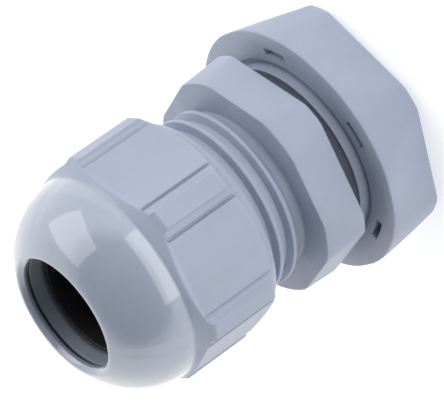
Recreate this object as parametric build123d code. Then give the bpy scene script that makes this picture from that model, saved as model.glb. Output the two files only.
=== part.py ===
from build123d import *

import math
import os

os.makedirs("parts", exist_ok=True)

# Cable gland M20 x 1.5 for cables of about 7 to 12 mm, in millimetres and degrees.
# The axis is +Z with the dome nut up; z = 0 is the face of the body's hexagon that meets the panel.

# Body
BODY_HEX_AF = 25.0
BODY_HEX_HEIGHT = 5.1
BODY_CORNER_R_SEAT = 13.75
BODY_CORNER_R_FRONT = 13.15
BODY_TOP_Z = 19.0
BODY_BOTTOM_Z = -11.0
BODY_BORE_R = 7.0
CAGE_BORE_R = 8.6
CAGE_BORE_FLOOR_Z = 8.0
NECK_R = 9.4
NECK_TOP_Z = 6.1
NECK_SLOPE = 0.4
STEM_CHAMFER = 0.3
BORE_MOUTH = 0.6

# Thread under the dome nut: coarse, left-handed, square-shouldered
CAP_PITCH = 2.0
CAP_CREST_R = 10.74
CAP_CORE_R = 9.8
CAP_CREST_WIDTH = 0.5
CAP_ROOT_WIDTH = 1.1
CAP_PHASE_DEG = -69.0
CAP_TURN_Z = 7.2
CAP_TURNS = 5

# Connection thread: M20 x 1.5, right-handed
ENTRY_PITCH = 1.5
ENTRY_CREST_R = 9.93
ENTRY_CORE_R = 9.08
ENTRY_CREST_WIDTH = 0.3
ENTRY_ROOT_WIDTH = 1.15
ENTRY_TOP_Z = -1.2
ENTRY_START_Z = -10.8
ENTRY_TURNS = 6

# Play between a thread and its nut, how deep a ridge is rooted, and how it runs out at an end
THREAD_GAP = 0.16
THREAD_FLANK_GAP = 0.1
THREAD_ROOTING = 0.1
THREAD_LEAD = 0.9
THREAD_SETBACK = 0.4

# Dome nut
NUT_AF = 25.0
NUT_FLAT_HALF = 4.5
NUT_REAR_Z = 11.4
NUT_COLLAR_R = 11.9
NUT_COLLAR_FLARE = 0.3
NUT_COLLAR_HEIGHT = 0.8
NUT_BLANK_START = 2.1
NUT_BLANK_R = 13.95
FLAT_END_Z = 22.5
FLAT_END_DRAFT_DEG = 35.0
RIB_END_Z = 21.8
RIB_END_R = 13.4
DOME_BASE_Z = 23.9
DOME_BASE_R = 12.59
DOME_SHOULDER_Z = 28.49
DOME_SHOULDER_R = 10.95
HOLE_R = 6.76
HOLE_LIP = 0.75
HOLE_CHAMFER = 0.45
HOLE_FLOOR_Z = 30.36
DOME_TOP_Z = 31.3
NUT_CONE_FOOT_Z = 23.6
NUT_CONE_FOOT_R = 10.6
NUT_CONE_TIP_Z = 30.2
NUT_CONE_TIP_R = 7.95
RIB_TOP = 13.85
RIB_TOP_HALF = 1.17
RIB_SHOULDER = 13.5
RIB_SHOULDER_HALF = 1.25
RIB_FOOT = 13.3
RIB_FOOT_HALF = 1.8
GUTTER_FLOOR = 12.7
GUTTER_HALF = 2.15

# Clamping cage
CAGE_R = 8.5
CAGE_BORE = 7.4
CAGE_BOTTOM_Z = 12.5
CAGE_TIP_Z = 30.0
CAGE_SHOULDER_Z = 27.9
CAGE_TIP_R = 7.62
CAGE_TIP_BORE = 6.9
CAGE_NOSE_Z = 28.6
CAGE_NOSE_BORE = 6.5
CAGE_NOSE_FOOT_Z = 26.6
FINGERS = 8
SLIT_ROOT_WIDTH = 0.6
SLIT_TIP_WIDTH = 0.1
SLIT_FLOOR_Z = 21.5
SLIT_PHASE_DEG = 148.0

# Rubber bush
SEAL_R = 7.34
SEAL_BORE_R = 6.2
SEAL_BOTTOM_Z = 13.0
SEAL_TOP_Z = 28.3
SEAL_SHOULDER_Z = 26.5
SEAL_MOUTH_R = 6.42
SEAL_CHAMFER = 0.5

# Panel ring
RING_R = 10.95
RING_BORE_R = 10.06
RING_TOP_Z = -0.05
RING_BOTTOM_Z = -1.95

# Locknut
LOCK_FRONT_Z = -3.0
LOCK_RIM = 0.6
LOCK_BACK_Z = -10.4
LOCK_R = 15.1
LOCK_BACK_R = 14.6
LOCK_EDGE = 0.4
LOCK_AF = 26.6
LOCK_DRAFT_DEG = 13.5
LOCK_CORNER_DEG = -19.4
LOCK_COLLAR_R = 10.9
LOCK_COLLAR_TOP_Z = -2.05
LOCK_GROOVE_R = 11.55
LOCK_GROOVE_DEPTH = 0.6
POCKET_INNER_R = 12.35
POCKET_OUTER_R = 13.35
POCKET_SPAN_DEG = 14.5
POCKET_DEPTH = 2.2

# Chamfers at the ends of the threaded bores
MOUTH_CHAMFER = 0.5
FRONT_CHAMFER = 0.3

# Six sides or pockets all round, and how far a cutting shape runs past what it cuts
SIDES = 6
STEP = 360 / SIDES
PAST = 1.0


def turned(points):
    """Solid of revolution about Z from a closed outline of (radius, z) points."""
    outline = make_face(Polyline([(r, 0, z) for r, z in points], close=True))
    return revolve(outline, Axis.Z)


def ridge(inner, outer, inner_width, outer_width, pitch, start_z, turns, phase, left):
    """One helical thread ridge between two radii, its middle at start_z where it begins."""
    path = Helix(pitch, pitch * turns, inner, lefthand=left)
    section = make_face(
        Polyline(
            [
                (0, -inner_width / 2),
                (outer - inner, -outer_width / 2),
                (outer - inner, outer_width / 2),
                (0, inner_width / 2),
            ],
            close=True,
        )
    )
    start = Plane(origin=path @ 0, x_dir=(1, 0, 0), z_dir=-(path % 0))
    coil = sweep(start * section, path=path, is_frenet=True)
    return Pos(0, 0, start_z) * Rot(0, 0, phase) * coil


def hexagon(across_flats, base_z, top_z, corner_deg=0.0, draft_deg=0.0):
    """Hexagonal prism past both heights, given at base_z and widening upwards by a draft."""
    slope = math.tan(math.radians(draft_deg))
    rings = []
    for z in (base_z - PAST, top_z + PAST):
        apothem = across_flats / 2 + (z - base_z) * slope
        rings.append(Pos(0, 0, z) * RegularPolygon(apothem, SIDES, major_radius=False))
    return Rot(0, 0, corner_deg) * loft(rings)


def gland_body():
    """Hexagon with the coarse thread above it, the M20 thread below and a stepped bore."""
    cone = turned(
        [
            (0, 0),
            (BODY_CORNER_R_SEAT, 0),
            (BODY_CORNER_R_FRONT, BODY_HEX_HEIGHT),
            (0, BODY_HEX_HEIGHT),
        ]
    )
    head = hexagon(BODY_HEX_AF, 0, BODY_HEX_HEIGHT) & cone
    stem = turned(
        [
            (0, BODY_BOTTOM_Z),
            (ENTRY_CORE_R - STEM_CHAMFER, BODY_BOTTOM_Z),
            (ENTRY_CORE_R, BODY_BOTTOM_Z + STEM_CHAMFER),
            (ENTRY_CORE_R, BODY_HEX_HEIGHT / 2),
            (NECK_R, BODY_HEX_HEIGHT / 2),
            (NECK_R, NECK_TOP_Z),
            (CAP_CORE_R, NECK_TOP_Z + NECK_SLOPE),
            (CAP_CORE_R, BODY_TOP_Z - STEM_CHAMFER),
            (CAP_CORE_R - STEM_CHAMFER, BODY_TOP_Z),
            (0, BODY_TOP_Z),
        ]
    )
    cap_coil = ridge(
        CAP_CORE_R - THREAD_ROOTING,
        CAP_CREST_R,
        CAP_ROOT_WIDTH,
        CAP_CREST_WIDTH,
        CAP_PITCH,
        CAP_TURN_Z - CAP_PITCH / 2,
        CAP_TURNS + 1,
        CAP_PHASE_DEG + 180,
        True,
    )
    cap_limit = turned(
        [
            (0, NECK_TOP_Z - NECK_SLOPE / 2),
            (CAP_CREST_R + PAST, NECK_TOP_Z - NECK_SLOPE / 2),
            (CAP_CREST_R + PAST, BODY_TOP_Z - THREAD_LEAD - PAST),
            (CAP_CORE_R - STEM_CHAMFER, BODY_TOP_Z),
            (0, BODY_TOP_Z),
        ]
    )
    entry_coil = ridge(
        ENTRY_CORE_R - THREAD_ROOTING,
        ENTRY_CREST_R,
        ENTRY_ROOT_WIDTH,
        ENTRY_CREST_WIDTH,
        ENTRY_PITCH,
        ENTRY_START_Z,
        ENTRY_TURNS,
        0,
        False,
    )
    entry_limit = turned(
        [
            (0, BODY_BOTTOM_Z),
            (ENTRY_CORE_R - STEM_CHAMFER, BODY_BOTTOM_Z),
            (ENTRY_CREST_R + PAST, BODY_BOTTOM_Z + THREAD_LEAD + PAST),
            (ENTRY_CREST_R + PAST, ENTRY_TOP_Z),
            (0, ENTRY_TOP_Z),
        ]
    )
    bore = turned(
        [
            (0, BODY_BOTTOM_Z - PAST),
            (BODY_BORE_R + BORE_MOUTH, BODY_BOTTOM_Z - PAST),
            (BODY_BORE_R + BORE_MOUTH, BODY_BOTTOM_Z),
            (BODY_BORE_R, BODY_BOTTOM_Z + BORE_MOUTH),
            (BODY_BORE_R, CAGE_BORE_FLOOR_Z),
            (CAGE_BORE_R, CAGE_BORE_FLOOR_Z),
            (CAGE_BORE_R, BODY_TOP_Z + PAST),
            (0, BODY_TOP_Z + PAST),
        ]
    )
    return head + stem + (cap_coil & cap_limit) + (entry_coil & entry_limit) - bore


def nut_section():
    """Cross-section of the dome nut: six flats, with a rib between two gutters at each corner."""
    foot_x = NUT_AF / 2 * math.cos(math.radians(30)) + NUT_FLAT_HALF * math.sin(math.radians(30))
    foot_y = NUT_AF / 2 * math.sin(math.radians(30)) - NUT_FLAT_HALF * math.cos(math.radians(30))
    half = [
        (foot_x, foot_y),
        (GUTTER_FLOOR, GUTTER_HALF),
        (RIB_FOOT, RIB_FOOT_HALF),
        (RIB_SHOULDER, RIB_SHOULDER_HALF),
        (RIB_TOP, RIB_TOP_HALF),
    ]
    corner = [(x, -y) for x, y in half] + [(x, y) for x, y in reversed(half)]
    points = []
    for k in range(SIDES):
        c, s = math.cos(math.radians(STEP * k)), math.sin(math.radians(STEP * k))
        points += [(x * c - y * s, x * s + y * c) for x, y in corner]
    return make_face(Polyline(points, close=True))


def dome_nut():
    """Cap nut with the gripping ribs, the rounded dome and the cone that closes the cage."""
    collar_z = NUT_REAR_Z + NUT_COLLAR_HEIGHT
    blank_z = NUT_REAR_Z + NUT_BLANK_START
    edge = [
        (0, NUT_REAR_Z),
        (NUT_COLLAR_R, NUT_REAR_Z),
        (NUT_COLLAR_R + NUT_COLLAR_FLARE, collar_z),
        (NUT_BLANK_R, blank_z),
        (NUT_BLANK_R, RIB_END_Z),
        (RIB_END_R, FLAT_END_Z),
        (DOME_BASE_R, DOME_BASE_Z),
    ]
    dome = ThreePointArc(
        (DOME_BASE_R, 0, DOME_BASE_Z),
        (DOME_SHOULDER_R, 0, DOME_SHOULDER_Z),
        (HOLE_R + HOLE_LIP, 0, DOME_TOP_Z),
    )
    closing = [(HOLE_R + HOLE_LIP, DOME_TOP_Z), (0, DOME_TOP_Z), (0, NUT_REAR_Z)]
    outline = [
        *Polyline([(r, 0, z) for r, z in edge]).edges(),
        dome,
        *Polyline([(r, 0, z) for r, z in closing]).edges(),
    ]
    shell = revolve(make_face(Wire(outline)), Axis.Z)
    grip_height = FLAT_END_Z + PAST - NUT_REAR_Z
    grip = Pos(0, 0, NUT_REAR_Z - PAST) * extrude(nut_section(), amount=grip_height)
    above = hexagon(NUT_AF, FLAT_END_Z, DOME_TOP_Z, 0, FLAT_END_DRAFT_DEG)
    span = 4 * NUT_BLANK_R
    above &= Pos(0, 0, FLAT_END_Z + span / 2) * Box(span, span, span)
    solid = shell & (grip + above)
    thread_r = CAP_CREST_R + THREAD_GAP
    cavity = turned(
        [
            (0, NUT_REAR_Z - PAST),
            (thread_r + MOUTH_CHAMFER, NUT_REAR_Z - PAST),
            (thread_r + MOUTH_CHAMFER, NUT_REAR_Z),
            (thread_r, NUT_REAR_Z + MOUTH_CHAMFER),
            (thread_r, NUT_CONE_FOOT_Z - MOUTH_CHAMFER),
            (NUT_CONE_FOOT_R, NUT_CONE_FOOT_Z),
            (NUT_CONE_TIP_R, NUT_CONE_TIP_Z),
            (HOLE_R, HOLE_FLOOR_Z),
            (HOLE_R, DOME_TOP_Z - HOLE_CHAMFER),
            (HOLE_R + HOLE_CHAMFER, DOME_TOP_Z),
            (HOLE_R + HOLE_CHAMFER, DOME_TOP_Z + PAST),
            (0, DOME_TOP_Z + PAST),
        ]
    )
    solid -= cavity
    crest_r = CAP_CORE_R + THREAD_GAP
    depth = (crest_r - CAP_CORE_R) / (CAP_CREST_R - CAP_CORE_R)
    tooth_at_crest = CAP_ROOT_WIDTH + (CAP_CREST_WIDTH - CAP_ROOT_WIDTH) * depth
    coil = ridge(
        crest_r,
        thread_r + THREAD_ROOTING,
        CAP_PITCH - tooth_at_crest - 2 * THREAD_FLANK_GAP,
        CAP_PITCH - CAP_CREST_WIDTH - 2 * THREAD_FLANK_GAP,
        CAP_PITCH,
        CAP_TURN_Z + 2 * CAP_PITCH,
        CAP_TURNS - 1,
        CAP_PHASE_DEG + 180,
        True,
    )
    room = turned(
        [
            (crest_r - PAST, NUT_REAR_Z + THREAD_SETBACK),
            (thread_r + 2 * THREAD_ROOTING, NUT_REAR_Z + THREAD_SETBACK),
            (thread_r + 2 * THREAD_ROOTING, BODY_TOP_Z - THREAD_SETBACK),
            (crest_r - PAST, BODY_TOP_Z - THREAD_SETBACK),
        ]
    )
    return solid + (coil & room)


def clamp_cage():
    """Sleeve slit into fingers, which the nut's cone has pressed together at their tips."""
    sleeve = turned(
        [
            (CAGE_BORE, CAGE_BOTTOM_Z),
            (CAGE_R, CAGE_BOTTOM_Z),
            (CAGE_R, CAGE_SHOULDER_Z),
            (CAGE_TIP_R, CAGE_TIP_Z),
            (CAGE_TIP_BORE, CAGE_TIP_Z),
            (CAGE_NOSE_BORE, CAGE_NOSE_Z),
            (CAGE_BORE, CAGE_NOSE_FOOT_Z),
        ]
    )
    slit_outline = [
        (-SLIT_ROOT_WIDTH / 2, SLIT_FLOOR_Z),
        (SLIT_ROOT_WIDTH / 2, SLIT_FLOOR_Z),
        (SLIT_TIP_WIDTH / 2, CAGE_TIP_Z + PAST),
        (-SLIT_TIP_WIDTH / 2, CAGE_TIP_Z + PAST),
    ]
    slit_face = make_face(Polyline([(0, y, z) for y, z in slit_outline], close=True))
    slit = extrude(slit_face, amount=CAGE_R + PAST, dir=(1, 0, 0))
    for k in range(FINGERS):
        sleeve -= Rot(0, 0, SLIT_PHASE_DEG + 360 / FINGERS * k) * slit
    return sleeve


def seal_insert():
    """Rubber bush that grips the cable inside the cage."""
    return turned(
        [
            (SEAL_BORE_R + SEAL_CHAMFER, SEAL_BOTTOM_Z),
            (SEAL_R, SEAL_BOTTOM_Z),
            (SEAL_R, SEAL_SHOULDER_Z),
            (SEAL_MOUTH_R, SEAL_TOP_Z),
            (SEAL_BORE_R, SEAL_TOP_Z),
            (SEAL_BORE_R, SEAL_BOTTOM_Z + SEAL_CHAMFER),
        ]
    )


def panel_ring():
    """Flat sealing ring between the body's hexagon and the panel."""
    return turned(
        [
            (RING_BORE_R, RING_BOTTOM_Z),
            (RING_R, RING_BOTTOM_Z),
            (RING_R, RING_TOP_Z),
            (RING_BORE_R, RING_TOP_Z),
        ]
    )


def locknut():
    """Flanged nut: round clamping face, sides running back into a hexagon, six pockets in front."""
    rim_z = LOCK_FRONT_Z - LOCK_RIM
    blank = turned(
        [
            (0, LOCK_BACK_Z),
            (LOCK_BACK_R - LOCK_EDGE, LOCK_BACK_Z),
            (LOCK_BACK_R, LOCK_BACK_Z + LOCK_EDGE),
            (LOCK_R, rim_z),
            (LOCK_R, LOCK_FRONT_Z),
            (LOCK_COLLAR_R, LOCK_FRONT_Z),
            (LOCK_COLLAR_R, LOCK_COLLAR_TOP_Z),
            (0, LOCK_COLLAR_TOP_Z),
        ]
    )
    sides = hexagon(LOCK_AF, LOCK_BACK_Z, LOCK_COLLAR_TOP_Z, LOCK_CORNER_DEG, LOCK_DRAFT_DEG)
    nut = blank & sides
    nut -= turned(
        [
            (LOCK_COLLAR_R, LOCK_FRONT_Z - LOCK_GROOVE_DEPTH),
            (LOCK_GROOVE_R, LOCK_FRONT_Z - LOCK_GROOVE_DEPTH),
            (LOCK_GROOVE_R, LOCK_FRONT_Z + PAST),
            (LOCK_COLLAR_R, LOCK_FRONT_Z + PAST),
        ]
    )
    pocket_width = 2 * POCKET_OUTER_R * math.sin(math.radians(POCKET_SPAN_DEG / 2))
    pocket = Pos((POCKET_INNER_R + POCKET_OUTER_R) / 2, 0, LOCK_FRONT_Z) * Box(
        POCKET_OUTER_R - POCKET_INNER_R, pocket_width, 2 * POCKET_DEPTH
    )
    for k in range(SIDES):
        nut -= Rot(0, 0, LOCK_CORNER_DEG + STEP * k) * pocket
    thread_r = ENTRY_CREST_R + THREAD_GAP
    nut -= turned(
        [
            (0, LOCK_BACK_Z - PAST),
            (thread_r + MOUTH_CHAMFER, LOCK_BACK_Z - PAST),
            (thread_r + MOUTH_CHAMFER, LOCK_BACK_Z),
            (thread_r, LOCK_BACK_Z + MOUTH_CHAMFER),
            (thread_r, LOCK_COLLAR_TOP_Z - FRONT_CHAMFER),
            (thread_r + FRONT_CHAMFER, LOCK_COLLAR_TOP_Z),
            (thread_r + FRONT_CHAMFER, LOCK_COLLAR_TOP_Z + PAST),
            (0, LOCK_COLLAR_TOP_Z + PAST),
        ]
    )
    crest_r = ENTRY_CORE_R + THREAD_GAP
    depth = (crest_r - ENTRY_CORE_R) / (ENTRY_CREST_R - ENTRY_CORE_R)
    tooth_at_crest = ENTRY_ROOT_WIDTH + (ENTRY_CREST_WIDTH - ENTRY_ROOT_WIDTH) * depth
    coil = ridge(
        crest_r,
        thread_r + THREAD_ROOTING,
        ENTRY_PITCH - tooth_at_crest - 2 * THREAD_FLANK_GAP,
        ENTRY_PITCH - ENTRY_CREST_WIDTH - 2 * THREAD_FLANK_GAP,
        ENTRY_PITCH,
        ENTRY_START_Z - ENTRY_PITCH / 2,
        ENTRY_TURNS + 1,
        0,
        False,
    )
    room = turned(
        [
            (crest_r - PAST, LOCK_BACK_Z + THREAD_SETBACK),
            (thread_r + 2 * THREAD_ROOTING, LOCK_BACK_Z + THREAD_SETBACK),
            (thread_r + 2 * THREAD_ROOTING, LOCK_COLLAR_TOP_Z - THREAD_SETBACK),
            (crest_r - PAST, LOCK_COLLAR_TOP_Z - THREAD_SETBACK),
        ]
    )
    return nut + (coil & room)


PIECES = {
    "gland_body": gland_body,
    "dome_nut": dome_nut,
    "clamp_cage": clamp_cage,
    "seal_insert": seal_insert,
    "panel_ring": panel_ring,
    "locknut": locknut,
}

for name, make in PIECES.items():
    piece = make()
    solids = piece.solids()
    print(name, len(solids), "solid", round(piece.volume, 1), "mm3")
    export_step(solids[0] if len(solids) == 1 else piece, f"parts/{name}.step")
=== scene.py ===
"""Looks of a moulded plastic cable gland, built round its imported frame.

The gland stands upright on the threaded end that goes through an enclosure wall, with the dome nut on top.
Sizes are in millimetres in the classes below and become metres when a mesh is finished.
"""

import logging
import math
from collections.abc import Callable
from dataclasses import dataclass
from enum import Enum

import bmesh
import bpy
from mathutils import Matrix, Vector

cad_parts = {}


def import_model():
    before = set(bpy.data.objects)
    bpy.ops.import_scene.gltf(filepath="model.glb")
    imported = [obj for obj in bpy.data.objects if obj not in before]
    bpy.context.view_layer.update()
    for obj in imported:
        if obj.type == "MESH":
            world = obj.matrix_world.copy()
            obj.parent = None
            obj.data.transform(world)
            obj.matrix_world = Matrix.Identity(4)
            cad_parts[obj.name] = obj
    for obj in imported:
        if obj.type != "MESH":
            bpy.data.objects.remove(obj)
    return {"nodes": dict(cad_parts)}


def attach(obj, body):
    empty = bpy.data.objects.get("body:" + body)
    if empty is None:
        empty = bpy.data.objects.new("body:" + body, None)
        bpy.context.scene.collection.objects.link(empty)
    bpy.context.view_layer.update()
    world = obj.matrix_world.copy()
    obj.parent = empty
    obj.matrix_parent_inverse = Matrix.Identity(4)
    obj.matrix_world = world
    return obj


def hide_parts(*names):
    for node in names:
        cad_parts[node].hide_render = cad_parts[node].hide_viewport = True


LOG = logging.getLogger("cable_gland")
MM = 0.001
SIDES = 6
SECTOR_DEG = 360 / SIDES
MERGE_MM = 0.0005
SHARP_DEG = 40

Reach = Callable[[Vector], float]
Triple = tuple[float, float, float]


def soft_least(first: float, second: float, blend: float) -> float:
    """The smaller of two radii, with the corner between them rounded off.

    Args:
        first: One radius.
        second: The other radius.
        blend: How far apart the two are where the rounding ends.

    Returns:
        The rounded minimum.
    """
    share = min(max(0.5 + 0.5 * (second - first) / blend, 0.0), 1.0)
    return second + (first - second) * share - blend * share * (1 - share)


def hexagon_reach(across: Vector, apothem: float, corner_deg: float = 0.0) -> float:
    """Distance from the axis to a hexagon's side, in one direction.

    Args:
        across: Unit direction in the XY plane.
        apothem: Distance from the axis to the middle of a side.
        corner_deg: Angle of one corner from +X.

    Returns:
        The distance.
    """
    angle = math.degrees(math.atan2(across.y, across.x)) - corner_deg
    off_side = angle % SECTOR_DEG - SECTOR_DEG / 2
    return apothem / math.cos(math.radians(off_side))


def arc(start: tuple, through: tuple, end: tuple, count: int) -> list[tuple[float, float]]:
    """Points along the circular arc through three points, without its first point.

    Args:
        start: First (radius, z) of the arc.
        through: A point between its ends.
        end: Its last point.
        count: How many points to give.

    Returns:
        The (radius, z) points.
    """
    a, b, c = (Vector(p) for p in (start, through, end))
    ab, ac = b - a, c - a
    twice = 2 * (ab.x * ac.y - ab.y * ac.x)
    centre = a + Vector((
        (ac.y * ab.length_squared - ab.y * ac.length_squared) / twice,
        (ab.x * ac.length_squared - ac.x * ab.length_squared) / twice,
    ))
    radius = (a - centre).length
    first, last = (math.atan2(*reversed(p - centre)) for p in (a, c))
    turn = (last - first + math.pi) % math.tau - math.pi
    angles = [first + turn * k / count for k in range(1, count + 1)]
    return [(centre.x + radius * math.cos(t), centre.y + radius * math.sin(t)) for t in angles]


def steps(start: float, end: float, count: int) -> list[float]:
    """Evenly spaced values from start to end, both included."""
    return [start + (end - start) * k / count for k in range(count + 1)]


def round_off(bm: bmesh.types.BMesh, parts: list, affect: str, width: float, segments: int = 3) -> None:
    """Rounds edges or corners of a mesh.

    Args:
        bm: The mesh.
        parts: The edges or corners.
        affect: "EDGES" or "VERTICES", for which of the two they are.
        width: Width of the rounding.
        segments: Faces across it.
    """
    bmesh.ops.bevel(
        bm, geom=parts, affect=affect, offset=width, offset_type="OFFSET",
        segments=segments, profile=0.5, material=-1, clamp_overlap=True,
    )


def absorb(bm: bmesh.types.BMesh, part: bmesh.types.BMesh) -> None:
    """Moves one mesh into another and frees it.

    Args:
        bm: The mesh that grows.
        part: The mesh that goes into it.
    """
    carrier = bpy.data.meshes.new("carrier")
    part.to_mesh(carrier)
    part.free()
    bm.from_mesh(carrier)
    bpy.data.meshes.remove(carrier)


class Field:
    """A shader socket that takes part in Python arithmetic: each operator adds one Math node."""

    def __init__(self, sheet: "NodeSheet", socket: bpy.types.NodeSocket) -> None:
        """Wraps a socket of a sheet."""
        self.sheet = sheet
        self.socket = socket

    def _math(self, operation: str, *values: "Field | float") -> "Field":
        """The result of one Math node.

        Args:
            operation: The node's operation.
            values: Its inputs in order.

        Returns:
            Its output.
        """
        return self.sheet.add("ShaderNodeMath", {"operation": operation}, dict(enumerate(values)))

    def __add__(self, other: "Field | float") -> "Field":
        """Self plus other."""
        return self._math("ADD", self, other)

    def __sub__(self, other: "Field | float") -> "Field":
        """Self minus other."""
        return self._math("SUBTRACT", self, other)

    def __rsub__(self, other: float) -> "Field":
        """Other minus self."""
        return self._math("SUBTRACT", other, self)

    def __mul__(self, other: "Field | float") -> "Field":
        """Self times other."""
        return self._math("MULTIPLY", self, other)

    __radd__ = __add__
    __rmul__ = __mul__

    def above(self, low: float, high: float) -> "Field":
        """A smooth mask.

        Args:
            low: Value where the mask leaves 0.
            high: Value where the mask reaches 1.

        Returns:
            The mask.
        """
        settings = {"interpolation_type": "SMOOTHSTEP"}
        inputs = {"Value": self, "From Min": low, "From Max": high}
        return self.sheet.add("ShaderNodeMapRange", settings, inputs)


class NodeSheet:
    """One material's node tree."""

    def __init__(self, name: str) -> None:
        """Starts a material with its shader.

        Args:
            name: The material's name.
        """
        self.material = bpy.data.materials.new(name)
        self.material.use_nodes = True
        self.tree = self.material.node_tree
        self.shader = self.tree.nodes["Principled BSDF"]

    def add(self, kind: str, settings: dict, inputs: dict, output: int | str = 0) -> Field:
        """Adds a node.

        Args:
            kind: The node's type.
            settings: Its properties, set before its sockets.
            inputs: Values or fields for its sockets, by name or number.
            output: The output wanted.

        Returns:
            That output.
        """
        node = self.tree.nodes.new(kind)
        for name, value in settings.items():
            setattr(node, name, value)
        for key, value in inputs.items():
            self.feed(node.inputs[key], value)
        return Field(self, node.outputs[output])

    def feed(self, socket: bpy.types.NodeSocket, value: "Field | float | tuple") -> None:
        """Sets a socket to a value or links a field to it."""
        if isinstance(value, Field):
            self.tree.links.new(value.socket, socket)
        else:
            socket.default_value = value

    def place(self) -> Field:
        """The surface's place in the piece's own coordinates, in metres."""
        return self.add("ShaderNodeTexCoord", {}, {}, "Object")

    def height(self) -> Field:
        """The surface's height in metres."""
        return self.add("ShaderNodeSeparateXYZ", {}, {0: self.place()}, "Z")

    def stretched(self, scale: Triple) -> Field:
        """The place, scaled along each axis."""
        return self.add("ShaderNodeMapping", {}, {"Vector": self.place(), "Scale": scale})

    def noise(self, size_mm: float, detail: float = 3.0, stretch: tuple = (1.0, 1.0, 1.0)) -> Field:
        """A noise pattern.

        Args:
            size_mm: Rough size of its blotches.
            detail: Its octaves.
            stretch: How much finer it is along each axis.

        Returns:
            Values from 0 to 1.
        """
        inputs = {"Vector": self.stretched(stretch), "Scale": 1 / (size_mm * MM), "Detail": detail}
        return self.add("ShaderNodeTexNoise", {}, inputs)

    def mix(self, share: "Field | float", first: tuple, second: tuple) -> Field:
        """A colour between two.

        Args:
            share: How much of the second.
            first: The first colour.
            second: The second colour.

        Returns:
            The mixed colour.
        """
        return self.add(
            "ShaderNodeMix", {"data_type": "RGBA"}, {0: share, 6: (*first, 1.0), 7: (*second, 1.0)}, 2
        )

    def bump(self, height: Field, depth_mm: float) -> Field:
        """A bumped normal.

        Args:
            height: The relief, from 0 to 1.
            depth_mm: How deep it is.

        Returns:
            The normal.
        """
        inputs = {"Height": height, "Strength": 1.0, "Distance": depth_mm * MM}
        return self.add("ShaderNodeBump", {}, inputs)


@dataclass(frozen=True)
class Polyamide:
    """Grey moulded polyamide: a spark-eroded satin skin that turns to polished gloss above one height."""

    name: str
    light: Triple = (0.362, 0.410, 0.520)
    dark: Triple = (0.336, 0.381, 0.486)
    satin: float = 0.42
    gloss: float = 0.16
    gloss_from_mm: float = 1000.0
    gloss_band_mm: float = 0.8
    coat: float = 1.0
    coat_ior: float = 1.75
    coat_roughness: float = 0.04
    ior: float = 1.53
    grain_mm: float = 0.16
    grain_depth_mm: float = 0.006
    grain_left_in_gloss: float = 0.03
    speckle_mm: float = 0.64
    speckle_share: float = 0.25
    tone_band: tuple[float, float] = (0.3, 0.7)
    flow_mm: float = 5.0
    flow_stretch: Triple = (1.0, 1.0, 0.45)
    satin_spread: float = 0.10
    gloss_spread: float = 0.04

    def material(self) -> bpy.types.Material:
        """Makes the material.

        Returns:
            The material.
        """
        sheet = NodeSheet(self.name)
        shader = sheet.shader.inputs
        gloss_start_mm = self.gloss_from_mm - self.gloss_band_mm
        polished = sheet.height().above(gloss_start_mm * MM, self.gloss_from_mm * MM)
        flow = sheet.noise(self.flow_mm, 4.0, self.flow_stretch)
        grain = sheet.noise(self.grain_mm, 2.0)
        speckle = sheet.noise(self.speckle_mm, 3.0)
        cloud = flow * (1 - self.speckle_share) + speckle * self.speckle_share
        tone = cloud.above(*self.tone_band)
        satin = self.satin + (speckle - 0.5) * self.satin_spread
        gloss = self.gloss + (flow - 0.5) * self.gloss_spread
        relief = (grain - 0.5) * (1 - polished * (1 - self.grain_left_in_gloss)) + (flow - 0.5) * 0.5
        sheet.feed(shader["Base Color"], sheet.mix(tone, self.dark, self.light))
        sheet.feed(shader["Roughness"], satin * (1 - polished) + gloss * polished)
        sheet.feed(shader["Normal"], sheet.bump(relief, self.grain_depth_mm))
        sheet.feed(shader["Coat Weight"], polished * self.coat)
        shader["Coat Roughness"].default_value = self.coat_roughness
        shader["Coat IOR"].default_value = self.coat_ior
        shader["IOR"].default_value = self.ior
        return sheet.material


@dataclass(frozen=True)
class Rubber:
    """Moulded rubber with a fine matt skin and a bloom of lighter dust."""

    name: str
    light: Triple
    dark: Triple
    rough: float = 0.55
    rough_spread: float = 0.2
    bloom_mm: float = 2.0
    bloom_band: tuple[float, float] = (0.35, 0.7)
    grain_mm: float = 0.25
    grain_depth_mm: float = 0.02
    stretch: Triple = (1.0, 1.0, 1.0)

    def material(self) -> bpy.types.Material:
        """Makes the material.

        Returns:
            The material.
        """
        sheet = NodeSheet(self.name)
        shader = sheet.shader.inputs
        bloom = sheet.noise(self.bloom_mm, 4.0, self.stretch).above(*self.bloom_band)
        grain = sheet.noise(self.grain_mm, 3.0, self.stretch)
        sheet.feed(shader["Base Color"], sheet.mix(bloom, self.dark, self.light))
        sheet.feed(shader["Roughness"], self.rough + (grain - 0.5) * self.rough_spread)
        sheet.feed(shader["Normal"], sheet.bump(grain, self.grain_depth_mm))
        return sheet.material


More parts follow.
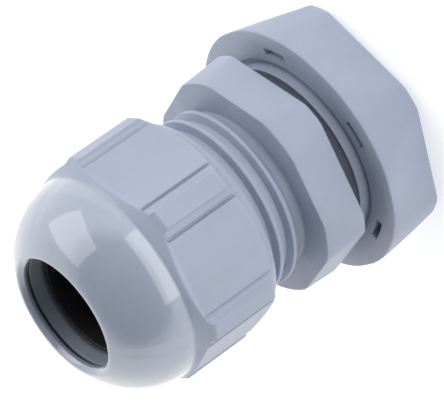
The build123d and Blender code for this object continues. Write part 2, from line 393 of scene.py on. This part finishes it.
class Turning:
    """A surface drawn ring by ring round the Z axis, whose rings may be round or follow a section."""

    def __init__(self, columns: int) -> None:
        """Starts from a circle.

        Args:
            columns: Vertices round each ring.
        """
        self.bm = bmesh.new()
        bmesh.ops.create_circle(self.bm, cap_ends=False, radius=1.0, segments=columns)
        self.rim = list(self.bm.edges)
        self.first: list[bmesh.types.BMEdge] = []
        self.creases: list[tuple[list[bmesh.types.BMEdge], float]] = []

    def ring(self, reach: float | Reach, z: float, crease: float = 0.0) -> None:
        """Draws the surface on to its next ring.

        Args:
            reach: The ring's radius, or a function that gives it for a direction.
            z: The ring's height.
            crease: Width of the rounding along this ring, or 0 for none.
        """
        if self.first:
            grown = bmesh.ops.extrude_edge_only(self.bm, edges=self.rim)["geom"]
            verts = [part for part in grown if isinstance(part, bmesh.types.BMVert)]
            self.rim = [p for p in grown if isinstance(p, bmesh.types.BMEdge) and p.is_boundary]
        else:
            verts = list(self.bm.verts)
            self.first = self.rim
        for vert in verts:
            across = vert.co.xy.normalized()
            radius = reach(across) if callable(reach) else reach
            vert.co = (*(across * radius), z)
        if crease:
            self.creases.append((self.rim, crease))

    def close(self) -> None:
        """Joins the last ring to the first."""
        bmesh.ops.bridge_loops(self.bm, edges=self.first + self.rim)

    def soften(self) -> None:
        """Rounds the creased rings."""
        for edges, width in self.creases:
            round_off(self.bm, [edge for edge in edges if edge.is_valid], "EDGES", width)


@dataclass(frozen=True)
class Thread:
    """A helical ridge: the radii and widths of its section, and how it winds."""

    root_r: float
    crest_r: float
    root_width: float
    crest_width: float
    pitch: float
    start_z: float
    start_deg: float
    turns: float
    rounding: float
    left_handed: bool = False
    fade_turns: float = 0.2
    steps_per_turn: int = 96

    def wind(self, bm: bmesh.types.BMesh) -> None:
        """Adds the ridge to a mesh, sinking into the root at both ends.

        Args:
            bm: The mesh, in millimetres.
        """
        ridge = bmesh.new()
        outline = [
            (self.root_r, -self.root_width / 2),
            (self.crest_r, -self.crest_width / 2),
            (self.crest_r, self.crest_width / 2),
            (self.root_r, self.root_width / 2),
        ]
        verts = [ridge.verts.new((r, 0, self.start_z + z)) for r, z in outline]
        ridge.faces.new(verts)
        round_off(ridge, verts[1:3], "VERTICES", self.rounding)
        turn = Matrix.Rotation(math.radians(self.start_deg), 3, "Z")
        bmesh.ops.rotate(ridge, verts=ridge.verts, cent=(0, 0, 0), matrix=turn)
        around = len(ridge.verts)
        count = round(self.turns * self.steps_per_turn)
        sense = -1 if self.left_handed else 1
        bmesh.ops.spin(
            ridge, geom=[*ridge.verts, *ridge.edges, *ridge.faces], cent=(0, 0, 0), axis=(0, 0, 1),
            dvec=(0, 0, self.pitch / self.steps_per_turn),
            angle=sense * math.tau * self.turns, steps=count, use_merge=False,
        )
        fade = self.fade_turns * self.steps_per_turn
        for number, vert in enumerate(ridge.verts):
            step = number // around
            share = math.sin(min(step, count - step, fade) / fade * math.pi / 2)
            radius = self.root_r + (vert.co.xy.length - self.root_r) * share
            vert.co.xy = vert.co.xy.normalized() * radius
        bmesh.ops.recalc_face_normals(ridge, faces=ridge.faces)
        absorb(bm, ridge)


def finished(name: str, bm: bmesh.types.BMesh, material: bpy.types.Material) -> bpy.types.Object:
    """Turns a mesh in millimetres into a smooth piece in metres.

    Args:
        name: The piece's name.
        bm: Its mesh.
        material: Its finish.

    Returns:
        The piece's object, at the origin.
    """
    bmesh.ops.remove_doubles(bm, verts=bm.verts, dist=MERGE_MM)
    bmesh.ops.recalc_face_normals(bm, faces=bm.faces)
    bmesh.ops.scale(bm, vec=(MM, MM, MM), verts=bm.verts)
    for face in bm.faces:
        face.smooth = True
    open_edges = sum(1 for edge in bm.edges if not edge.is_manifold)
    mesh = bpy.data.meshes.new(name)
    bm.to_mesh(mesh)
    bm.free()
    mesh.set_sharp_from_angle(angle=math.radians(SHARP_DEG))
    mesh.materials.append(material)
    piece = bpy.data.objects.new(name, mesh)
    bpy.context.scene.collection.objects.link(piece)
    weigh = piece.modifiers.new("weighted_normals", "WEIGHTED_NORMAL")
    weigh.mode = "FACE_AREA"
    weigh.keep_sharp = True
    LOG.info("%s: %d faces, %d open edges", name, len(mesh.polygons), open_edges)
    return piece


class Zone(Enum):
    """Which form a ring of the dome nut has."""

    ROUND = "round"
    GRIP = "grip"
    RUN_OUT = "run_out"


@dataclass
class DomeNut:
    """Cap nut: flats and ribs to grip, the round dome, and the hole for the cable."""

    half_across_flats: float = 12.5
    flat_half: float = 4.5
    rear_z: float = 11.4
    collar_r: float = 11.9
    blank_r: float = 13.95
    flat_end_z: float = 22.5
    run_out_deg: float = 35.0
    rib_end_z: float = 21.8
    rib_end_r: float = 13.4
    base_z: float = 23.9
    base_r: float = 12.59
    shoulder: tuple[float, float] = (10.95, 28.488)
    top_z: float = 31.3
    hole_r: float = 6.76
    lip: float = 0.75
    hole_floor_z: float = 30.36
    cone_foot: tuple[float, float] = (10.6, 23.6)
    cone_tip: tuple[float, float] = (7.95, 30.2)
    bore_r: float = 10.9
    bore_chamfer: float = 0.5
    lip_chamfer: float = 0.45
    rear_chamfer_z: tuple[float, float] = (0.8, 2.1)
    rear_step: float = 0.3
    rear_edge: float = 0.2
    edge: float = 0.12
    fine_edge: float = 0.1
    grip_margin: float = 0.4
    rib_margin: float = 0.1
    flat_margin: float = 0.04
    cone_run_in: float = 0.6
    chamfer_rings: int = 9
    grip_rings: int = 3
    rib_rings: int = 7
    run_out_rings: int = 12
    dome_rings: int = 26
    rib: tuple[tuple[float, float], ...] = ((12.7, 2.15), (13.3, 1.8), (13.5, 1.25), (13.85, 1.17))
    flat_cuts: int = 17
    blend: float = 0.22
    rounding: float = 0.1
    thread: Thread = Thread(
        root_r=10.98, crest_r=9.96, root_width=1.26, crest_width=0.82, pitch=2.0,
        start_z=12.2, start_deg=-69.0, turns=3.0, rounding=0.08, left_handed=True,
    )

    def section(self) -> list[Vector]:
        """The grip's cross-section with its corners rounded.

        Returns:
            Points round the section, in order of angle.
        """
        side = math.radians(SECTOR_DEG / 2)
        flat_end = Matrix.Rotation(side, 2) @ Vector((self.half_across_flats, -self.flat_half))
        half = [flat_end, *(Vector(p) for p in self.rib)]
        corner = [Vector((p.x, -p.y)) for p in half] + list(reversed(half))
        bm = bmesh.new()
        verts = []
        for k in range(SIDES):
            turn = Matrix.Rotation(math.radians(SECTOR_DEG * k), 2)
            verts += [bm.verts.new((*(turn @ p), 0)) for p in corner]
        bm.faces.new(verts)
        round_off(bm, verts, "VERTICES", self.rounding, 2)
        flats = [edge for edge in bm.edges if edge.calc_length() > self.flat_half]
        bmesh.ops.subdivide_edges(bm, edges=flats, cuts=self.flat_cuts)
        points = [vert.co.xy for vert in bm.verts]
        bm.free()
        return sorted(points, key=lambda p: math.atan2(p.y, p.x))

    def reach(self, zone: Zone, grip: float, across: Vector, blank: float, z: float) -> float:
        """Radius of the outside in one direction.

        Args:
            zone: The form of the ring.
            grip: The section's radius in that direction.
            across: The direction.
            blank: The ring's radius before flats and ribs are cut.
            z: The ring's height.

        Returns:
            The radius.
        """
        if zone is Zone.GRIP:
            return soft_least(blank, grip, self.blend)
        if zone is Zone.RUN_OUT:
            slope = math.tan(math.radians(self.run_out_deg))
            apothem = self.half_across_flats + (z - self.flat_end_z) * slope
            return soft_least(blank, hexagon_reach(across, apothem), self.blend)
        return blank

    def rings(self) -> list[tuple[float, float, Zone, float]]:
        """The nut's outline from the rear edge over the dome and back through the bore.

        Returns:
            Each ring's radius, height, form and rounding.
        """
        chamfer_z, full_z = (self.rear_z + rise for rise in self.rear_chamfer_z)
        wedge = self.collar_r + self.rear_step
        outline = [
            (self.bore_r + self.bore_chamfer, self.rear_z, Zone.ROUND, self.edge),
            (self.collar_r, self.rear_z, Zone.ROUND, self.rear_edge),
        ]
        for z in steps(chamfer_z, full_z, self.chamfer_rings):
            share = (z - chamfer_z) / (full_z - chamfer_z)
            outline.append((wedge + (self.blank_r - wedge) * share, z, Zone.GRIP, 0.0))
        grip_end = self.rib_end_z - self.grip_margin
        for z in steps(full_z + self.grip_margin, grip_end, self.grip_rings):
            outline.append((self.blank_r, z, Zone.GRIP, 0.0))
        flat_end = self.flat_end_z - self.flat_margin
        for z in steps(self.rib_end_z - self.rib_margin, flat_end, self.rib_rings):
            share = max(z - self.rib_end_z, 0.0) / (self.flat_end_z - self.rib_end_z)
            blank = self.blank_r + (self.rib_end_r - self.blank_r) * share
            outline.append((blank, z, Zone.GRIP, 0.0))
        for z in steps(self.flat_end_z + self.flat_margin, self.base_z, self.run_out_rings):
            share = (z - self.flat_end_z) / (self.base_z - self.flat_end_z)
            blank = self.rib_end_r + (self.base_r - self.rib_end_r) * share
            outline.append((blank, z, Zone.RUN_OUT, 0.0))
        lip_start = (self.hole_r + self.lip, self.top_z)
        dome = arc((self.base_r, self.base_z), self.shoulder, lip_start, self.dome_rings)
        for r, z in dome:
            outline.append((r, z, Zone.ROUND, 0.0))
        outline += [
            (self.hole_r + self.lip_chamfer, self.top_z, Zone.ROUND, self.edge),
            (self.hole_r, self.top_z - self.lip_chamfer, Zone.ROUND, self.edge),
            (self.hole_r, self.hole_floor_z, Zone.ROUND, self.fine_edge),
            (*self.cone_tip, Zone.ROUND, 0.0),
            (*self.cone_foot, Zone.ROUND, 0.0),
            (self.bore_r, self.cone_foot[1] - self.cone_run_in, Zone.ROUND, 0.0),
            (self.bore_r, self.rear_z + self.bore_chamfer, Zone.ROUND, self.fine_edge),
        ]
        return outline

    def build(self, material: bpy.types.Material) -> bpy.types.Object:
        """Models the nut.

        Args:
            material: Its finish.

        Returns:
            The piece.
        """
        section = self.section()
        turning = Turning(len(section))
        first_ring = sorted(turning.bm.verts, key=lambda vert: math.atan2(vert.co.y, vert.co.x))
        for vert, point in zip(first_ring, section):
            vert.co = (*point, 0)
        grips = {self.key(p): p.length for p in section}
        for blank, z, zone, crease in self.rings():
            def limit(across: Vector) -> float:
                """The ring's radius in one direction."""
                return self.reach(zone, grips[self.key(across)], across, blank, z)
            turning.ring(limit, z, crease)
        turning.close()
        turning.soften()
        self.thread.wind(turning.bm)
        return finished("dome_nut_shell", turning.bm, material)

    @staticmethod
    def key(point: Vector) -> float:
        """The direction of a point as a number that survives rounding."""
        return round(math.degrees(math.atan2(point.y, point.x)), 2)


@dataclass
class GlandBody:
    """Hexagon with the cap thread above it, the connection thread below and a stepped bore."""

    half_across_flats: float = 12.5
    hex_height: float = 5.1
    seat_r: float = 13.75
    front_r: float = 13.15
    top_z: float = 19.0
    bottom_z: float = -11.0
    bore_r: float = 7.0
    cage_bore_r: float = 8.6
    cage_floor_z: float = 8.0
    neck_r: float = 9.4
    neck_top_z: float = 6.1
    neck_flare: float = 0.2
    neck_fillet: float = 0.25
    cap_core_r: float = 9.8
    entry_core_r: float = 9.08
    mouth_flare: float = 0.6
    tip_chamfer: float = 0.3
    root_rise: float = 0.4
    neck_edge: float = 0.15
    hex_edge: float = 0.14
    edge: float = 0.1
    hex_levels: tuple[float, ...] = (1.3, 2.55, 3.8)
    blend: float = 0.16
    columns: int = 384
    cap_thread: Thread = Thread(
        root_r=9.7, crest_r=10.74, root_width=1.1, crest_width=0.5, pitch=2.0,
        start_z=6.45, start_deg=66.0, turns=5.9, rounding=0.14, left_handed=True,
    )
    entry_thread: Thread = Thread(
        root_r=8.98, crest_r=9.93, root_width=1.15, crest_width=0.3, pitch=1.5,
        start_z=-10.2, start_deg=0.0, turns=6.0, rounding=0.08,
    )

    def build(self, material: bpy.types.Material) -> bpy.types.Object:
        """Models the body.

        Args:
            material: Its finish.

        Returns:
            The piece.
        """
        turning = Turning(self.columns)
        turning.ring(self.bore_r, self.bottom_z + self.mouth_flare)
        turning.ring(self.bore_r + self.mouth_flare, self.bottom_z, self.edge)
        turning.ring(self.entry_core_r - self.tip_chamfer, self.bottom_z, self.edge)
        turning.ring(self.entry_core_r, self.bottom_z + self.tip_chamfer)
        turning.ring(self.entry_core_r, -self.root_rise)
        turning.ring(self.entry_core_r + self.neck_flare, 0)
        for z in (0, *self.hex_levels, self.hex_height):
            cone = self.seat_r + (self.front_r - self.seat_r) * z / self.hex_height

            def head(across: Vector) -> float:
                """The head's radius in one direction."""
                return soft_least(cone, hexagon_reach(across, self.half_across_flats), self.blend)
            turning.ring(head, z, self.hex_edge if z in (0, self.hex_height) else 0.0)
        turning.ring(self.neck_r + self.neck_flare, self.hex_height, self.neck_edge)
        turning.ring(self.neck_r, self.hex_height + self.neck_fillet)
        turning.ring(self.neck_r, self.neck_top_z)
        turning.ring(self.cap_core_r, self.neck_top_z + self.root_rise)
        turning.ring(self.cap_core_r, self.top_z - self.tip_chamfer)
        turning.ring(self.cap_core_r - self.tip_chamfer, self.top_z, self.edge)
        turning.ring(self.cage_bore_r, self.top_z, self.edge)
        turning.ring(self.cage_bore_r, self.cage_floor_z)
        turning.ring(self.bore_r, self.cage_floor_z, self.edge)
        turning.close()
        turning.soften()
        self.cap_thread.wind(turning.bm)
        self.entry_thread.wind(turning.bm)
        return finished("gland_body_shell", turning.bm, material)


@dataclass
class Locknut:
    """Flanged nut: round front with six pockets, sides that run back into a hexagon."""

    front_z: float = -3.0
    rim: float = 0.6
    back_z: float = -10.4
    rim_r: float = 15.098
    back_r: float = 14.6
    half_across_flats: float = 13.3
    draft_deg: float = 13.5
    corner_deg: float = -19.4
    collar_r: float = 10.9
    collar_z: float = -2.05
    groove_r: float = 11.55
    groove_depth: float = 0.6
    pocket_inner_r: float = 12.35
    pocket_outer_r: float = 13.35
    pocket_half_deg: float = 7.25
    pocket_depth: float = 2.2
    pocket_draft: float = 0.08
    bore_r: float = 10.09
    bore_chamfer: float = 0.5
    collar_chamfer: float = 0.3
    side_edge: float = 0.16
    edge: float = 0.12
    fine_edge: float = 0.08
    blend: float = 0.2
    side_rings: int = 14
    columns: int = 384
    thread: Thread = Thread(
        root_r=10.17, crest_r=9.24, root_width=1.01, crest_width=0.31, pitch=1.5,
        start_z=-9.45, start_deg=0.0, turns=4.2, rounding=0.06,
    )

    def build(self, material: bpy.types.Material) -> bpy.types.Object:
        """Models the locknut.

        Args:
            material: Its finish.

        Returns:
            The piece.
        """
        turning = Turning(self.columns)
        turn = Matrix.Rotation(math.radians(self.corner_deg), 3, "Z")
        bmesh.ops.rotate(turning.bm, verts=turning.bm.verts, cent=(0, 0, 0), matrix=turn)
        turning.ring(self.bore_r, self.back_z + self.bore_chamfer)
        turning.ring(self.bore_r + self.bore_chamfer, self.back_z, self.edge)
        rim_z = self.front_z - self.rim
        slope = math.tan(math.radians(self.draft_deg))
        for z in steps(self.back_z, rim_z, self.side_rings) + [self.front_z]:
            share = min((z - self.back_z) / (rim_z - self.back_z), 1.0)
            blank = self.back_r + (self.rim_r - self.back_r) * share
            apothem = self.half_across_flats + (z - self.back_z) * slope

            def side(across: Vector) -> float:
                """The side's radius in one direction."""
                flat = hexagon_reach(across, apothem, self.corner_deg)
                return soft_least(blank, flat, self.blend)
            turning.ring(side, z, self.side_edge if z in (self.back_z, self.front_z) else 0.0)
        for r in (self.pocket_outer_r, self.pocket_inner_r):
            turning.ring(r, self.front_z)
        turning.ring(self.groove_r, self.front_z, self.fine_edge)
        turning.ring(self.groove_r, self.front_z - self.groove_depth)
        turning.ring(self.collar_r, self.front_z - self.groove_depth)
        turning.ring(self.collar_r, self.collar_z, self.edge)
        turning.ring(self.bore_r + self.collar_chamfer, self.collar_z, self.fine_edge)
        turning.ring(self.bore_r, self.collar_z - self.collar_chamfer)
        turning.close()
        self.pockets(turning.bm)
        turning.soften()
        self.thread.wind(turning.bm)
        return finished("locknut_shell", turning.bm, material)

    def pockets(self, bm: bmesh.types.BMesh) -> None:
        """Sinks the six pockets into the front.

        Args:
            bm: The nut's mesh.
        """
        def in_pocket(face: bmesh.types.BMFace) -> bool:
            """Whether a face lies over a pocket."""
            middle = face.calc_center_median()
            angle = math.degrees(math.atan2(middle.y, middle.x)) - self.corner_deg
            off = abs((angle + SECTOR_DEG / 2) % SECTOR_DEG - SECTOR_DEG / 2)
            radius = middle.xy.length
            level = abs(middle.z - self.front_z) < 0.01
            between_rings = self.pocket_inner_r < radius < self.pocket_outer_r
            return level and off < self.pocket_half_deg and between_rings

        floors = [face for face in bm.faces if in_pocket(face)]
        bmesh.ops.inset_region(
            bm, faces=floors, thickness=self.pocket_draft, depth=0.0, use_even_offset=True,
        )
        sunk = bmesh.ops.extrude_face_region(bm, geom=floors)["geom"]
        bmesh.ops.delete(bm, geom=[face for face in floors if face.is_valid], context="FACES")
        moved = [part for part in sunk if isinstance(part, bmesh.types.BMVert)]
        bmesh.ops.translate(bm, verts=moved, vec=(0, 0, -self.pocket_depth))


@dataclass
class SealingRing:
    """Flat rubber ring between the body's hexagon and the panel."""

    outer_r: float = 10.95
    bore_r: float = 10.06
    top_z: float = -0.05
    bottom_z: float = -1.95
    outer_edge: float = 0.3
    inner_edge: float = 0.15
    columns: int = 192

    def build(self, material: bpy.types.Material) -> bpy.types.Object:
        """Models the ring.

        Args:
            material: Its finish.

        Returns:
            The piece.
        """
        turning = Turning(self.columns)
        middle = (self.top_z + self.bottom_z) / 2
        turning.ring(self.bore_r, self.bottom_z, self.inner_edge)
        turning.ring(self.outer_r, self.bottom_z, self.outer_edge)
        turning.ring(self.outer_r, middle)
        turning.ring(self.outer_r, self.top_z, self.outer_edge)
        turning.ring(self.bore_r, self.top_z, self.inner_edge)
        turning.close()
        turning.soften()
        return finished("sealing_ring", turning.bm, material)


@dataclass
class SealingBush:
    """Black rubber tube that grips the cable, with a rounded lip."""

    outer_r: float = 7.34
    bore_r: float = 6.2
    bottom_z: float = 13.0
    shoulder_z: float = 26.5
    top_z: float = 28.3
    mouth_r: float = 6.52
    mouth_z: float = 28.25
    groove_pitch: float = 1.6
    groove_depth: float = 0.12
    groove_half: float = 0.35
    grooves_start: float = 1.2
    plain_length: float = 3.0
    foot_flare: float = 0.5
    foot_edge: float = 0.3
    shoulder_edge: float = 0.4
    inner_edge: float = 0.15
    fine_edge: float = 0.1
    columns: int = 192

    def build(self, material: bpy.types.Material) -> bpy.types.Object:
        """Models the bush.

        Args:
            material: Its finish.

        Returns:
            The piece.
        """
        turning = Turning(self.columns)
        turning.ring(self.bore_r + self.foot_flare, self.bottom_z, self.inner_edge)
        turning.ring(self.outer_r, self.bottom_z, self.foot_edge)
        turning.ring(self.outer_r, self.shoulder_z, self.shoulder_edge)
        turning.ring(self.mouth_r, self.mouth_z, self.inner_edge)
        turning.ring(self.bore_r, self.top_z - self.groove_depth, self.fine_edge)
        count = int((self.top_z - self.bottom_z - self.plain_length) / self.groove_pitch)
        for k in range(1, count):
            z = self.top_z - self.grooves_start - k * self.groove_pitch
            turning.ring(self.bore_r, z + self.groove_half)
            turning.ring(self.bore_r + self.groove_depth, z, self.fine_edge)
            turning.ring(self.bore_r, z - self.groove_half)
        turning.ring(self.bore_r, self.bottom_z + self.foot_flare)
        turning.close()
        turning.soften()
        return finished("sealing_bush", turning.bm, material)


@dataclass
class ClampCage:
    """Sleeve whose fingers the nut's cone has pressed together round the bush."""

    outer_r: float = 8.5
    bore_r: float = 7.4
    bottom_z: float = 12.5
    slit_floor_z: float = 21.5
    shoulder_z: float = 27.9
    tip_z: float = 30.0
    tip_r: float = 7.62
    tip_bore_r: float = 6.9
    nose_z: float = 28.6
    nose_r: float = 6.5
    nose_foot_z: float = 26.6
    fingers: int = 8
    slit_root: float = 0.6
    slit_tip: float = 0.004
    slit_closes_at: float = 0.8
    slit_phase_deg: float = 148.0
    finger_steps: int = 12
    finger_rounding: float = 0.18
    outer_edge: float = 0.15
    inner_edge: float = 0.1
    columns: int = 192

    def sleeve(self, bm: bmesh.types.BMesh) -> None:
        """Adds the unbroken lower part to a mesh in millimetres."""
        turning = Turning(self.columns)
        turning.ring(self.bore_r, self.bottom_z, self.inner_edge)
        turning.ring(self.outer_r, self.bottom_z, self.outer_edge)
        turning.ring(self.outer_r, self.slit_floor_z)
        turning.ring(self.bore_r, self.slit_floor_z)
        turning.close()
        turning.soften()
        absorb(bm, turning.bm)

    def finger(self, bm: bmesh.types.BMesh, start_deg: float) -> None:
        """Adds one finger, with a gap on each side that narrows to its tip.

        Args:
            bm: The mesh, in millimetres.
            start_deg: Angle of the slit before it.
        """
        outline = [
            (self.bore_r, self.slit_floor_z), (self.outer_r, self.slit_floor_z),
            (self.outer_r, self.shoulder_z), (self.tip_r, self.tip_z),
            (self.tip_bore_r, self.tip_z), (self.nose_r, self.nose_z), (self.bore_r, self.nose_foot_z),
        ]
        part = bmesh.new()
        verts = [part.verts.new((r, 0, z)) for r, z in outline]
        part.faces.new(verts)
        round_off(part, verts[2:6], "VERTICES", self.finger_rounding)
        around = len(part.verts)
        bmesh.ops.spin(
            part, geom=[*part.verts, *part.edges, *part.faces], cent=(0, 0, 0), axis=(0, 0, 1),
            dvec=(0, 0, 0), angle=math.tau / self.fingers, steps=self.finger_steps, use_merge=False,
        )
        for number, vert in enumerate(part.verts):
            side = 1 - 2 * (number // around) / self.finger_steps
            rise = (vert.co.z - self.slit_floor_z) / (self.tip_z - self.slit_floor_z)
            closed = min(rise / self.slit_closes_at, 1.0)
            gap = self.slit_root + (self.slit_tip - self.slit_root) * closed
            turn = side * gap / 2 / vert.co.xy.length + math.radians(start_deg)
            vert.co.xy = Matrix.Rotation(turn, 2) @ vert.co.xy
        bmesh.ops.recalc_face_normals(part, faces=part.faces)
        absorb(bm, part)

    def build(self, material: bpy.types.Material) -> bpy.types.Object:
        """Models the cage.

        Args:
            material: Its finish.

        Returns:
            The piece.
        """
        bm = bmesh.new()
        self.sleeve(bm)
        for k in range(self.fingers):
            self.finger(bm, self.slit_phase_deg + 360 / self.fingers * k)
        return finished("clamp_cage_fingers", bm, material)


@dataclass(frozen=True)
class SoftBox:
    """A rectangular lamp that faces the gland: where it stands seen from there, its size and its power."""

    name: str
    direction: Triple
    size_m: tuple[float, float]
    power_w: float
    distance_m: float
    turn_deg: float = 0.0


@dataclass
class Studio:
    """Camera, floor and soft light."""

    aim_mm: Triple = (-0.08, -0.03, 8.42)
    azimuth_deg: float = -69.315
    elevation_deg: float = 26.114
    roll_deg: float = -125.3
    distance_mm: float = 374.2
    lens_mm: float = 279.62
    floor_z_mm: float = -11.0
    floor_size: float = 6.0
    open_side: Triple = (0.0, -0.68, 0.73)
    tent_fade: tuple[float, float, float, float] = (0.3, 0.72, 1.2, 0.22)
    table_glow: float = 0.45
    table_roughness: float = 0.9
    table_tones: tuple[Triple, Triple] = ((0.90, 0.90, 0.90), (0.93, 0.93, 0.93))
    table_clouds_per_m: float = 3.0
    boxes: tuple[SoftBox, ...] = (
        SoftBox("left_box", (0.748, 0.158, 0.645), (0.29, 0.35), 0.36, 0.4, 35.0),
        SoftBox("low_strip", (0.151, -0.987, 0.055), (0.135, 0.046), 0.026, 0.1),
    )

    def camera(self) -> None:
        """Sets the camera up."""
        azimuth, elevation = math.radians(self.azimuth_deg), math.radians(self.elevation_deg)
        back = Vector((
            math.cos(elevation) * math.cos(azimuth),
            math.cos(elevation) * math.sin(azimuth),
            math.sin(elevation),
        ))
        turn = back.to_track_quat("Z", "Y").to_matrix().to_4x4()
        data = bpy.data.cameras.new("camera")
        data.lens = self.lens_mm
        data.sensor_width = 36.0
        data.clip_end = 20.0
        camera = bpy.data.objects.new("camera", data)
        camera.matrix_world = (
            Matrix.Translation((Vector(self.aim_mm) + back * self.distance_mm) * MM)
            @ turn
            @ Matrix.Rotation(math.radians(self.roll_deg), 4, "Z")
        )
        bpy.context.scene.collection.objects.link(camera)
        bpy.context.scene.camera = camera

    def floor(self) -> None:
        """Lays the pale floor."""
        bm = bmesh.new()
        bmesh.ops.create_grid(bm, x_segments=2, y_segments=2, size=self.floor_size / 2)
        bmesh.ops.translate(bm, verts=bm.verts, vec=(0, 0, self.floor_z_mm * MM))
        mesh = bpy.data.meshes.new("floor")
        bm.to_mesh(mesh)
        bm.free()
        sheet = NodeSheet("paper")
        shader = sheet.shader.inputs
        inputs = {"Vector": sheet.place(), "Scale": self.table_clouds_per_m}
        clouds = sheet.add("ShaderNodeTexNoise", {}, inputs)
        sheet.feed(shader["Base Color"], sheet.mix(clouds, *self.table_tones))
        shader["Roughness"].default_value = self.table_roughness
        shader["Emission Color"].default_value = (1.0, 1.0, 1.0, 1.0)
        shader["Emission Strength"].default_value = self.table_glow
        mesh.materials.append(sheet.material)
        floor = bpy.data.objects.new("floor", mesh)
        bpy.context.scene.collection.objects.link(floor)

    def light(self, box: SoftBox) -> None:
        """Sets up one soft box.

        Args:
            box: The lamp.
        """
        data = bpy.data.lights.new(box.name, "AREA")
        data.shape = "RECTANGLE"
        data.size, data.size_y = box.size_m
        data.energy = box.power_w
        lamp = bpy.data.objects.new(box.name, data)
        toward = Vector(box.direction).normalized()
        lamp.matrix_world = (
            Matrix.Translation(Vector(self.aim_mm) * MM + toward * box.distance_m)
            @ toward.to_track_quat("Z", "Y").to_matrix().to_4x4()
            @ Matrix.Rotation(math.radians(box.turn_deg), 4, "Z")
        )
        lamp.visible_camera = False
        bpy.context.scene.collection.objects.link(lamp)

    def world(self) -> None:
        """Surrounds the gland with a white tent that is dim on the side of its open front."""
        world = bpy.data.worlds.new("tent")
        world.use_nodes = True
        tree = world.node_tree
        backdrop = tree.nodes["Background"]
        backdrop.inputs["Color"].default_value = (1.0, 1.0, 1.0, 1.0)
        place = tree.nodes.new("ShaderNodeTexCoord")
        toward = tree.nodes.new("ShaderNodeVectorMath")
        toward.operation = "DOT_PRODUCT"
        toward.inputs[1].default_value = Vector(self.open_side).normalized()
        fade = tree.nodes.new("ShaderNodeMapRange")
        fade.interpolation_type = "SMOOTHSTEP"
        for name, value in zip(("From Min", "From Max", "To Min", "To Max"), self.tent_fade):
            fade.inputs[name].default_value = value
        tree.links.new(place.outputs["Generated"], toward.inputs[0])
        tree.links.new(toward.outputs["Value"], fade.inputs["Value"])
        tree.links.new(fade.outputs["Result"], backdrop.inputs["Strength"])
        bpy.context.scene.world = world
        bpy.context.scene.view_settings.view_transform = "Standard"

    def build(self) -> None:
        """Sets the whole studio up."""
        self.camera()
        self.floor()
        self.world()
        for box in self.boxes:
            self.light(box)


def main() -> None:
    """Builds the gland's pieces round the frame, one by one, and the studio they stand in."""
    logging.basicConfig(level=logging.INFO, format="%(name)s %(message)s")
    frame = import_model()
    LOG.info("frame with nodes %s", ", ".join(sorted(frame["nodes"])))
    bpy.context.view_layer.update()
    matt = Polyamide("moulded_polyamide").material()
    # The cage is the same grey polyamide as the other pieces. Its colour is painted darker as painted
    # shade for the fingers deep inside the nut's hole.
    cage_painted_shade_polyamide = Polyamide(
        "cage_polyamide_painted_shade", light=(0.235, 0.267, 0.330), dark=(0.215, 0.245, 0.305)
    ).material()
    polished = Polyamide("polished_polyamide", gloss_from_mm=24.2).material()
    black = Rubber(
        "black_rubber", (0.014, 0.014, 0.016), (0.005, 0.005, 0.006), stretch=(1.0, 1.0, 0.25)
    ).material()
    # The panel ring is grey rubber. Its colour is also painted darker as painted shade for the crevice
    # between the body's hexagon and the locknut.
    ring_rubber_and_painted_shade = Rubber("grey_rubber_and_painted_shade", (0.080, 0.094, 0.128), (0.062, 0.074, 0.102)).material()
    pieces = (
        (GlandBody().build(matt), "body", "gland_body", "polyamide"),
        (DomeNut().build(polished), "nut", "dome_nut", "polyamide_gloss"),
        (Locknut().build(matt), "lock", "locknut", "polyamide"),
        (SealingRing().build(ring_rubber_and_painted_shade), "ring", "panel_ring", "ring_rubber"),
        (SealingBush().build(black), "clamp", "seal_insert", "bush_rubber"),
        (ClampCage().build(cage_painted_shade_polyamide), "clamp", "clamp_cage", "polyamide"),
    )
    for piece, body, node, slot in pieces:
        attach(piece, body)
        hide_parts(node)
    Studio().build()


if __name__ == "__main__":
    main()
